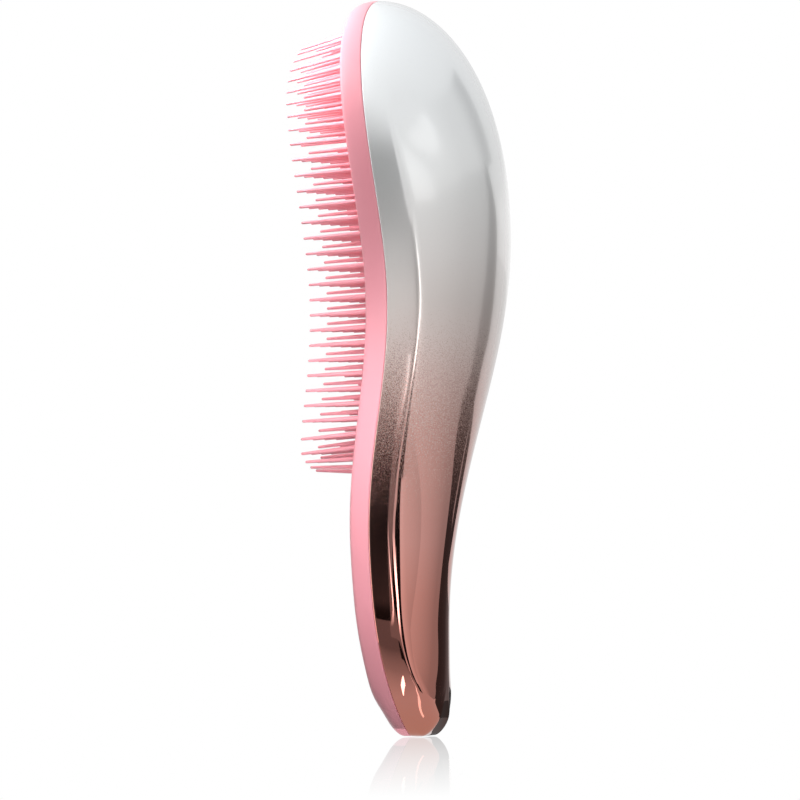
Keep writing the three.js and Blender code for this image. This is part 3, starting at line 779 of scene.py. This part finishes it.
def pink_abs():
    """Moulded ABS, coloured through: even pink with a soft gloss and a faint mould grain."""
    material, tree = new_material("pink_moulded_abs")
    grain = mould_grain(tree)
    bump = add_node(tree, "ShaderNodeBump", {
        "Height": grain, "Strength": 0.02, "Distance": 0.02 * MM,
    }).outputs["Normal"]
    shader = add_node(tree, "ShaderNodeBsdfPrincipled", {
        "Base Color": hex_linear("#ee9ca8"),
        "Roughness": add_node(tree, "ShaderNodeMapRange", {
            "Value": grain, "To Min": 0.26, "To Max": 0.32,
        }).outputs["Result"],
        "IOR": 1.53,
        "Normal": bump,
    })
    finish_material(tree, shader)
    return material


def pink_nylon():
    """Moulded nylon: satin, and light goes a little way into it, so thin pins glow pink."""
    material, tree = new_material("pink_moulded_nylon")
    grain = mould_grain(tree)
    shader = add_node(tree, "ShaderNodeBsdfPrincipled", {
        "Base Color": hex_linear("#f09fab"),
        "Roughness": add_node(tree, "ShaderNodeMapRange", {
            "Value": grain, "To Min": 0.3, "To Max": 0.42,
        }).outputs["Result"],
        "IOR": 1.53,
        "Subsurface Weight": 0.15,
        "Subsurface Radius": (1.0, 0.6, 0.6),
        "Subsurface Scale": 0.6 * MM,
    })
    finish_material(tree, shader)
    return material


# ------------------------------------------------------------------ studio

VIEW_AZIMUTH = math.radians(108)
VIEW_DISTANCE = 2.5  # metres
PIXELS_PER_METRE = 3868
IMAGE_PIXELS = 800
FOOT_PIXEL_X = 420  # where the middle of the foot stands in the photograph
FLOOR_PIXEL_Y = 735.5
SENSOR_WIDTH = 36
TO_CAMERA = Vector((math.sin(VIEW_AZIMUTH), -math.cos(VIEW_AZIMUTH), 0))
TO_RIGHT = Vector((math.cos(VIEW_AZIMUTH), math.sin(VIEW_AZIMUTH), 0))

# Cards stand on rings round the brush, and a card hides what stands on wider rings. Their
# azimuths are in degrees: 0 is along X, 90 is along Y, out of the domed back, and the camera
# looks from 18. Heights and radii are in millimetres. A level of 1 shows as white.
CARD_CENTRE_Y = 4
CARD_STEP = 4  # degrees
SIDE_RING = 85
LINE_RING = 106
DIM_LINE_RING = 107
FLAG_RING = 110
EDGE_RING = 111
SOFTBOX_RING = 112
RIM_RING = 120

# The floor is a stack of thin layers. The camera sees the shown floor alone. The others light
# the brush, and its gloss mirrors all of them but the shade under the pins.
FLOOR_SIZE = 12  # metres
FLOOR_LEVEL = 0.8
SHOWN_FLOOR_Z = -0.2
FLOOR_LIGHTS_Z = -0.6
FLOOR_DARKS_Z = -0.7
FLOOR_SHADE_Z = -0.8
FLOOR_BOUNCE_Z = -1
UNDER_SHADE_Z = 2
FLOOR_SHADE_REACH = 200
FLOOR_STREAK_WIDTH = 1
RING_CARD_POINTS = 12

SHEEN_REACH = 0.38  # the floor's mirror image fades out over this distance, metres
SHEEN_HALF_WIDTH = 0.017
SHEEN_EVEN = 0.7  # share of the half width over which the image is even
SHEEN_START = 0.5  # how far behind the foot's middle the image starts, in half widths
SHEEN = 0.67  # how much of the mirror image shows at a level look
SHEEN_FALL = 12  # how fast it goes when the floor is seen from higher up


def set_camera():
    aim = TO_RIGHT * ((IMAGE_PIXELS / 2 - FOOT_PIXEL_X) / PIXELS_PER_METRE)
    aim.z = (FLOOR_PIXEL_Y - IMAGE_PIXELS / 2) / PIXELS_PER_METRE
    data = bpy.data.cameras.new("camera")
    data.sensor_width = SENSOR_WIDTH
    data.lens = SENSOR_WIDTH * VIEW_DISTANCE * PIXELS_PER_METRE / IMAGE_PIXELS
    data.clip_end = 50  # metres, well past the backdrop
    camera = bpy.data.objects.new("camera", data)
    camera.location = aim + TO_CAMERA * VIEW_DISTANCE
    camera.rotation_euler = TO_CAMERA.to_track_quat("Z", "Y").to_euler()
    bpy.context.scene.collection.objects.link(camera)
    bpy.context.scene.camera = camera


def white_room():
    """A pale room: white low down, where the floor mirrors it, and a little brighter overhead."""
    world = bpy.data.worlds.new("white_room")
    world.use_nodes = True
    tree = world.node_tree
    tree.nodes.clear()
    place = add_node(tree, "ShaderNodeTexCoord").outputs["Generated"]
    up = add_node(tree, "ShaderNodeSeparateXYZ", {"Vector": place}).outputs["Z"]
    level = add_node(
        tree, "ShaderNodeValToRGB", {"Fac": up},
        ramp=[(0.05, grey(1.0)), (0.1, grey(0.8)), (0.2, grey(0.8)), (1.0, grey(1.04))],
    )
    light = add_node(tree, "ShaderNodeBackground", {"Color": level.outputs["Color"]})
    add_node(tree, "ShaderNodeOutputWorld", {"Surface": light.outputs[0]})
    bpy.context.scene.world = world


def backdrop():
    """A white shell far round the set, which only the camera sees."""
    ball = bmesh.new()
    bmesh.ops.create_icosphere(ball, subdivisions=3, radius=FLOOR_SIZE / 2)
    mesh = bpy.data.meshes.new("backdrop")
    ball.to_mesh(mesh)
    ball.free()
    material, tree = new_material("white_backdrop")
    finish_material(tree, add_node(tree, "ShaderNodeEmission", {"Strength": 1.0}))
    camera_only(stage_piece("backdrop", mesh, material))


def stage_piece(name, mesh, material):
    mesh.materials.append(material)
    piece = bpy.data.objects.new(name, mesh)
    bpy.context.scene.collection.objects.link(piece)
    return piece


def stage_mesh(name, points, faces, material):
    """A studio piece from points in metres."""
    mesh = bpy.data.meshes.new(name)
    mesh.from_pydata(points, [], faces)
    return stage_piece(name, mesh, material)


def camera_only(piece):
    piece.visible_diffuse = False
    piece.visible_glossy = False
    piece.visible_transmission = False
    piece.visible_shadow = False


def diffuse_only(piece):
    """Lets a card light the brush, but keeps it out of every gloss and mirror."""
    piece.visible_glossy = False
    return piece


def light_only(source, piece):
    """Keeps a lamp's light to one piece."""
    lit = bpy.data.collections.new(source.name + "_receiver")
    lit.objects.link(piece)
    source.light_linking.receiver_collection = lit


# ------------------------------------------------------------------ lights and cards

def one_sided(tree, shader):
    """Shows the shader on a sheet's face alone. Seen from behind, the sheet is clear."""
    behind = add_node(tree, "ShaderNodeNewGeometry").outputs["Backfacing"]
    clear = add_node(tree, "ShaderNodeBsdfTransparent")
    finish_material(tree, add_node(tree, "ShaderNodeMixShader", {
        0: behind, 1: shader.outputs[0], 2: clear.outputs[0],
    }))


def emitter(name, level):
    material, tree = new_material(name)
    one_sided(tree, add_node(tree, "ShaderNodeEmission", {"Strength": level}))
    return material


def clear_emitter(name, level):
    """Light from a sheet that is seen through."""
    material, tree = new_material(name)
    glow = add_node(tree, "ShaderNodeEmission", {"Strength": level})
    clear = add_node(tree, "ShaderNodeBsdfTransparent")
    finish_material(tree, add_node(tree, "ShaderNodeAddShader", {
        0: glow.outputs[0], 1: clear.outputs[0],
    }))
    return material


def graded_emitter(name, stops, upwards=False):
    """Light that changes round the brush, or up it.

    A stop is an azimuth in degrees, or a height in millimetres, and a level.
    """
    material, tree = new_material(name)
    place = add_node(tree, "ShaderNodeTexCoord").outputs["Object"]
    parts = add_node(tree, "ShaderNodeSeparateXYZ", {"Vector": place}).outputs
    if upwards:
        value, unit = parts["Z"], MM
    else:
        depth = add_node(
            tree, "ShaderNodeMath", {0: parts["Y"], 1: CARD_CENTRE_Y * MM}, operation="SUBTRACT",
        ).outputs[0]
        value = add_node(
            tree, "ShaderNodeMath", {0: depth, 1: parts["X"]}, operation="ARCTAN2",
        ).outputs[0]
        unit = math.radians(1)
    first, last = stops[0][0], stops[-1][0]
    share = add_node(tree, "ShaderNodeMapRange", {
        "Value": value, "From Min": first * unit, "From Max": last * unit,
    }).outputs["Result"]
    brightest = max(level for _, level in stops)
    shade = add_node(
        tree, "ShaderNodeValToRGB", {"Fac": share},
        ramp=[(along(first, last, at), grey(level / brightest)) for at, level in stops],
    ).outputs["Color"]
    one_sided(tree, add_node(tree, "ShaderNodeEmission", {"Color": shade, "Strength": brightest}))
    return material


def strip(name, material, pairs):
    """A sheet through pairs of points, which the camera doesn't see."""
    points = [point for pair in pairs for point in pair]
    faces = [(k, k + 1, k + 3, k + 2) for k in range(0, len(points) - 2, 2)]
    piece = stage_mesh(name, points, faces, material)
    piece.visible_camera = False
    return piece


def on_ring(radius, turn, height):
    """A point in metres on a ring round the brush."""
    angle = math.radians(turn)
    x, y = radius * math.cos(angle), CARD_CENTRE_Y + radius * math.sin(angle)
    return (x * MM, y * MM, height * MM)


def card(name, material, radius, stations):
    """A card that stands bent round the brush. A station is an azimuth, a low and a high edge."""
    pairs = []
    for station, following in zip(stations, stations[1:]):
        steps = math.ceil((following[0] - station[0]) / CARD_STEP)
        for n in range(steps):
            turn, low, high = (lerp(a, b, n / steps) for a, b in zip(station, following))
            pairs.append((on_ring(radius, turn, low), on_ring(radius, turn, high)))
    turn, low, high = stations[-1]
    pairs.append((on_ring(radius, turn, low), on_ring(radius, turn, high)))
    return strip(name, material, pairs)


def ribbon(name, material, radius, stations):
    """A narrow card that runs downwards. A station is two azimuths and a height."""
    return strip(name, material, [
        (on_ring(radius, left, height), on_ring(radius, right, height))
        for left, right, height in stations
    ])


def lamp(name, level, radius, stations):
    """A card that lights the brush, but that no gloss or mirror shows."""
    return diffuse_only(card(name, emitter(name, level), radius, stations))


# ------------------------------------------------------------------ floor

def floor_square(name, height, material):
    half = FLOOR_SIZE / 2
    corners = [(-half, -half), (half, -half), (half, half), (-half, half)]
    points = [(x, y, height * MM) for x, y in corners]
    return stage_mesh(name, points, [(0, 1, 2, 3)], material)


def mirror_share(tree):
    """How much of its mirror image a point of the floor shows.

    The image fades with the distance from the foot. It ends at the edges of its strip and
    behind the brush, and it is lost where the floor is seen from higher up.
    """
    place = add_node(tree, "ShaderNodeTexCoord").outputs["Object"]
    distance = add_node(tree, "ShaderNodeVectorMath", {0: place}, operation="LENGTH")
    fade = add_node(tree, "ShaderNodeMapRange", {
        "Value": distance.outputs["Value"], "From Min": 0.0, "From Max": SHEEN_REACH,
        "To Min": SHEEN, "To Max": 0.0,
    })
    aside, before = (
        add_node(tree, "ShaderNodeVectorMath", {0: place, 1: way}, operation="DOT_PRODUCT")
        for way in (TO_RIGHT, TO_CAMERA)
    )
    off = add_node(tree, "ShaderNodeMath", {0: aside.outputs["Value"]}, operation="ABSOLUTE")
    across = add_node(tree, "ShaderNodeMapRange", {
        "Value": off.outputs[0],
        "From Min": SHEEN_EVEN * SHEEN_HALF_WIDTH, "From Max": SHEEN_HALF_WIDTH,
        "To Min": 1.0, "To Max": 0.0,
    })
    ahead = add_node(tree, "ShaderNodeMapRange", {
        "Value": before.outputs["Value"],
        "From Min": -SHEEN_START * SHEEN_HALF_WIDTH, "From Max": 0.0,
    })
    facing = add_node(tree, "ShaderNodeLayerWeight", {"Blend": 0.5}).outputs["Facing"]
    share = add_node(tree, "ShaderNodeMath", {0: facing, 1: SHEEN_FALL}, operation="POWER")
    for part in (fade, across, ahead):
        factors = {0: share.outputs[0], 1: part.outputs["Result"]}
        share = add_node(tree, "ShaderNodeMath", factors, operation="MULTIPLY")
    return share.outputs[0]


def shown_floor():
    """What the camera sees: a white floor with a faint mirror image that fades with distance.

    The image lies in a strip before the brush, as on a polished sheet among white ones.
    """
    material, tree = new_material("white_acrylic_sheet")
    white = add_node(tree, "ShaderNodeEmission", {"Strength": 1.0})
    mirror = add_node(tree, "ShaderNodeBsdfGlossy", {"Color": grey(1), "Roughness": 0.0})
    one_sided(tree, add_node(tree, "ShaderNodeMixShader", {
        0: mirror_share(tree), 1: white.outputs[0], 2: mirror.outputs[0],
    }))
    camera_only(floor_square("floor", SHOWN_FLOOR_Z, material))


def lying_card(name, material, height, left, right):
    """A card that faces up between two edges of x, y points, left and right as seen along them."""
    edges = [[(x * MM, y * MM, height * MM) for x, y in edge] for edge in (left, right)]
    return strip(name, material, zip(*edges))


def round_foot(radius, turns):
    """Floor points at one distance from the foot, at azimuths in degrees."""
    return [(radius * math.cos(a), radius * math.sin(a)) for a in np.radians(turns)]


def ring_card(name, material, stations):
    """Cards on the floor round the foot. A station is a radius and two azimuths."""
    edges = [
        round_foot(radius, np.linspace(start, end, RING_CARD_POINTS))
        for radius, start, end in stations
    ]
    for inner, outer in zip(edges, edges[1:]):
        lying_card(name, material, FLOOR_DARKS_Z, inner, outer)


def shade_material():
    """The floor in front of the brush, ever darker away from it."""
    material, tree = new_material("floor_shade")
    place = add_node(tree, "ShaderNodeTexCoord").outputs["Object"]
    distance = add_node(tree, "ShaderNodeVectorMath", {0: place}, operation="LENGTH")
    share = add_node(tree, "ShaderNodeMapRange", {
        "Value": distance.outputs["Value"], "From Max": FLOOR_SHADE_REACH * MM,
    })
    stops = [(30, 0.8), (74, 0.45), (150, 0.2)]
    shade = add_node(
        tree, "ShaderNodeValToRGB", {"Fac": share.outputs["Result"]},
        ramp=[(at / FLOOR_SHADE_REACH, grey(level)) for at, level in stops],
    )
    one_sided(tree, add_node(tree, "ShaderNodeEmission", {"Color": shade.outputs["Color"]}))
    return material


def lit_floor():
    """What lights the brush from below: dimmer than the floor shows in the picture.

    The gloss of the shell mirrors its dark patches, one of them a painted contact shadow, and its
    light strips, which are painted glints of lamps on the floor.
    """
    bounce = floor_square("floor_bounce", FLOOR_BOUNCE_Z, emitter("floor_glow", FLOOR_LEVEL))
    bounce.visible_camera = False
    turns = np.linspace(-35, 30, 9)
    edges = [round_foot(radius, turns) for radius in (25, 3000)]
    lying_card("floor_shade", shade_material(), FLOOR_SHADE_Z, *edges)

    # A painted contact shadow: a dim card on the floor close round the foot, on the domed back's
    # side, which the grip's gloss mirrors.
    ring_card("painted_floor_contact_shadow", emitter("painted_floor_contact_shadow", 0.12), [(2, 145, 190), (26, 118, 190)])
    ring_card("floor_dark", emitter("floor_dark", 0.05), [
        (26, 112, 190), (50, 122, 190), (400, 125, 190),
    ])
    ring_card("floor_wedge", emitter("floor_wedge", 0.02), [(40, 27, 41), (115, 27, 41)])

    # Painted glints: bright sheets on the floor that stand for lamps mirrored in it. The handle
    # end shows them as a light spot and thin light lines.
    lying_card(
        "painted_floor_glint", emitter("painted_floor_glint", 6), FLOOR_LIGHTS_Z,
        [(33, -2.6), (46, -1), (62, -3.2)], [(33, -3.4), (46, -5.2), (62, -4)],
    )
    streak = [(12, 10), (33, 7.5), (60, 9.5), (75, 11)]
    lying_card(
        "painted_floor_streak_glint", emitter("painted_floor_streak_glint", 2.4), FLOOR_LIGHTS_Z,
        [(x, y + FLOOR_STREAK_WIDTH) for x, y in streak], streak,
    )

    # Under the pins the floor gives less light, so their lower edges are darker.
    diffuse_only(lying_card(
        "under_shade", emitter("under_shade", 0.3), UNDER_SHADE_Z,
        [(-60, 14), (60, 14)], [(-60, -110), (60, -110)],
    ))


# ------------------------------------------------------------------ what the shell mirrors

def side_cards():
    """What the side wall mirrors: dark at the grip, pale at mid height, dark near the top."""
    side = graded_emitter("side_flag", [
        (26, 0.012), (31, 0.02), (38, 0.1), (50, 0.25), (66, 0.48), (89, 0.8), (113, 0.5),
        (130, 0.18), (150, 0.02), (160, 0.03), (168, 0.3), (180, 0.65), (205, 1.0),
    ], upwards=True)
    card("side_flag", side, SIDE_RING, [(-24, 26, 205), (-10, 26, 205)])
    card("side_flag_front", side, SIDE_RING, [(-10, 62, 205), (-1, 62, 205)])


def grip_cards():
    """What the grip mirrors of the camera's side: black, with a dim strip and a dim line.

    They keep the grip's rose brown deep, with sharp edges between light and dark.
    """
    black = emitter("black_card", 0.012)
    card("front_flag", black, FLAG_RING, [(-5, 0, 60), (17, 0, 60)])
    card("front_flag_left", black, FLAG_RING, [(-10, 24, 60), (-5, 24, 60)])
    card("front_flag_warm", emitter("brown_card", 0.27), FLAG_RING, [(17, 25, 60), (24, 25, 60)])
    card("front_flag_low", black, FLAG_RING, [(17, 0, 25), (24, 0, 25)])
    card("front_flag_right", black, FLAG_RING, [(24, 0, 60), (34, 0, 60)])
    card("streak", emitter("streak_grey", 0.3), DIM_LINE_RING, [
        (-10, 15, 36), (-4, 13.5, 33), (5, 11, 27), (11, 6.5, 20), (15, 4, 12), (20, 1, 7),
        (24, 0.5, 2),
    ])


def light_lines():
    """The two light lines beside the crease, which fade where the ribbons get dimmer."""
    left = graded_emitter("streak_left", [
        (22, 0.4), (27, 1.4), (35, 4.5), (60, 5), (116, 1.5),
    ], upwards=True)
    ribbon("streak_left", left, LINE_RING, [
        (-6.2, -5.4, 116), (-6.5, -5.3, 92), (-6.8, -5.6, 60), (-7, -5.6, 36),
        (-8.2, -6.6, 29), (-9.6, -8.4, 22),
    ])
    right = graded_emitter("streak_right", [
        (1, 0.9), (20, 0.9), (27, 2), (34, 6), (60, 6), (90, 3.5), (112, 3), (130, 0.8),
        (182, 0.7),
    ], upwards=True)
    ribbon("streak_right", right, LINE_RING, [
        (20, 28, 182), (36, 44, 168), (38, 46, 154), (24, 30, 134), (28, 36, 107), (28, 36, 77),
        (18, 26, 47), (9, 19, 23), (12, 20, 16), (14, 24, 10), (13, 22, 5), (14, 20, 1),
    ])


def softboxes():
    """The soft lights that the dome mirrors, dimmer towards its back edge."""
    left = graded_emitter("softbox_left", [(35, 1.15), (61, 0.75)])
    card("softbox_left", left, SOFTBOX_RING, [(35, 0, 165), (61, 0, 165)])
    right = graded_emitter("softbox_right", [(61, 0.92), (100, 0.5), (118, 0.45), (136, 0.4)])
    card("softbox_right", right, SOFTBOX_RING, [(61, 0, 165), (136, 0, 165)])
    top = graded_emitter("softbox_top", [
        (35, 1.05), (61, 0.95), (100, 0.74), (121, 0.7), (131, 0.48), (138, 0.36), (146, 0.5),
    ])
    card("softbox_top", top, SOFTBOX_RING, [(35, 165, 230), (146, 165, 230)])


def back_cards():
    """Dark cards behind the brush, which give the dome's back edge its dark band."""
    card("back_flag", emitter("back_card", 0.05), FLAG_RING, [
        (108, 34, 36), (112, 30, 50), (117, 22, 58), (119.5, 16, 62), (121, 10, 66),
        (123, 0, 80), (126, 0, 110), (127.5, 0, 160), (131, 36, 168), (134, 52, 163),
        (137, 66, 150), (140, 80, 130), (143, 88, 96),
    ])
    edge = graded_emitter("table_edge", [(126, 0.05), (145, 0.06), (172, 0.22)])
    card("table_edge", edge, EDGE_RING, [(126, 0, 36), (150, 0, 31), (172, 0, 29)])


def lamps():
    """Lights the pins and the front frame, from before the brush and from above.

    Returns the pins' own lamp, and the lamp that the shell shows as a thin light line along
    the parting line.
    """
    rim_light = card("rim_light", clear_emitter("rim_light", 6), RIM_RING, [
        (-150, 0, 205), (-60, 0, 205),
    ])
    rim_light.visible_diffuse = False
    lamp("side_lamp", 4, radius=60, stations=[(-34, 42, 98), (-2, 42, 98)])
    # Dimmer than the room that it hides, so the shadows between the pins stay deep.
    lamp("front_shade", 0.12, radius=104, stations=[(-130, 0, 172), (-26, 0, 172)])
    lamp("top_lamp", 6, radius=95, stations=[(-75, 208, 245), (-10, 208, 245)])
    lamp("brow_lamp", 12, radius=80, stations=[(-95, 178, 215), (-48, 178, 215)])
    pin_lamp = lamp("pin_lamp", 18, radius=100, stations=[(-60, 190, 270), (0, 190, 270)])
    return pin_lamp, rim_light


def studio():
    """Builds the whole studio, and returns the two lamps that light one piece each."""
    white_room()
    backdrop()
    shown_floor()
    lit_floor()
    side_cards()
    grip_cards()
    light_lines()
    softboxes()
    back_cards()
    glow = emitter("glow", 1.35)  # a light patch that the dome shows beside its crease
    ribbon("glow", glow, FLAG_RING, [(59, 67, 204), (62, 74, 184), (65, 79, 162)])
    return lamps()


# ------------------------------------------------------------------ assembly

def dress(piece, material, slot, *nodes):
    piece.data.materials.clear()
    piece.data.materials.append(material)
    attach(piece, "root")
    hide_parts(*nodes)


bpy.context.scene.view_settings.view_transform = "Standard"
set_camera()
pin_lamp, rim_light = studio()

shell = loft_round("shell_moulding", shell_section)
dress(shell, plated_lacquer(), "plated_shell", "back_shell")
dress(front_frame(), pink_abs(), "pink_frame", "front_frame")
pins = pin_pad()
dress(pins, pink_nylon(), "pin_pad", "bristle_pad",
      "bristles_heel", "bristles_lower", "bristles_upper", "bristles_crown")
light_only(pin_lamp, pins)
light_only(rim_light, shell)
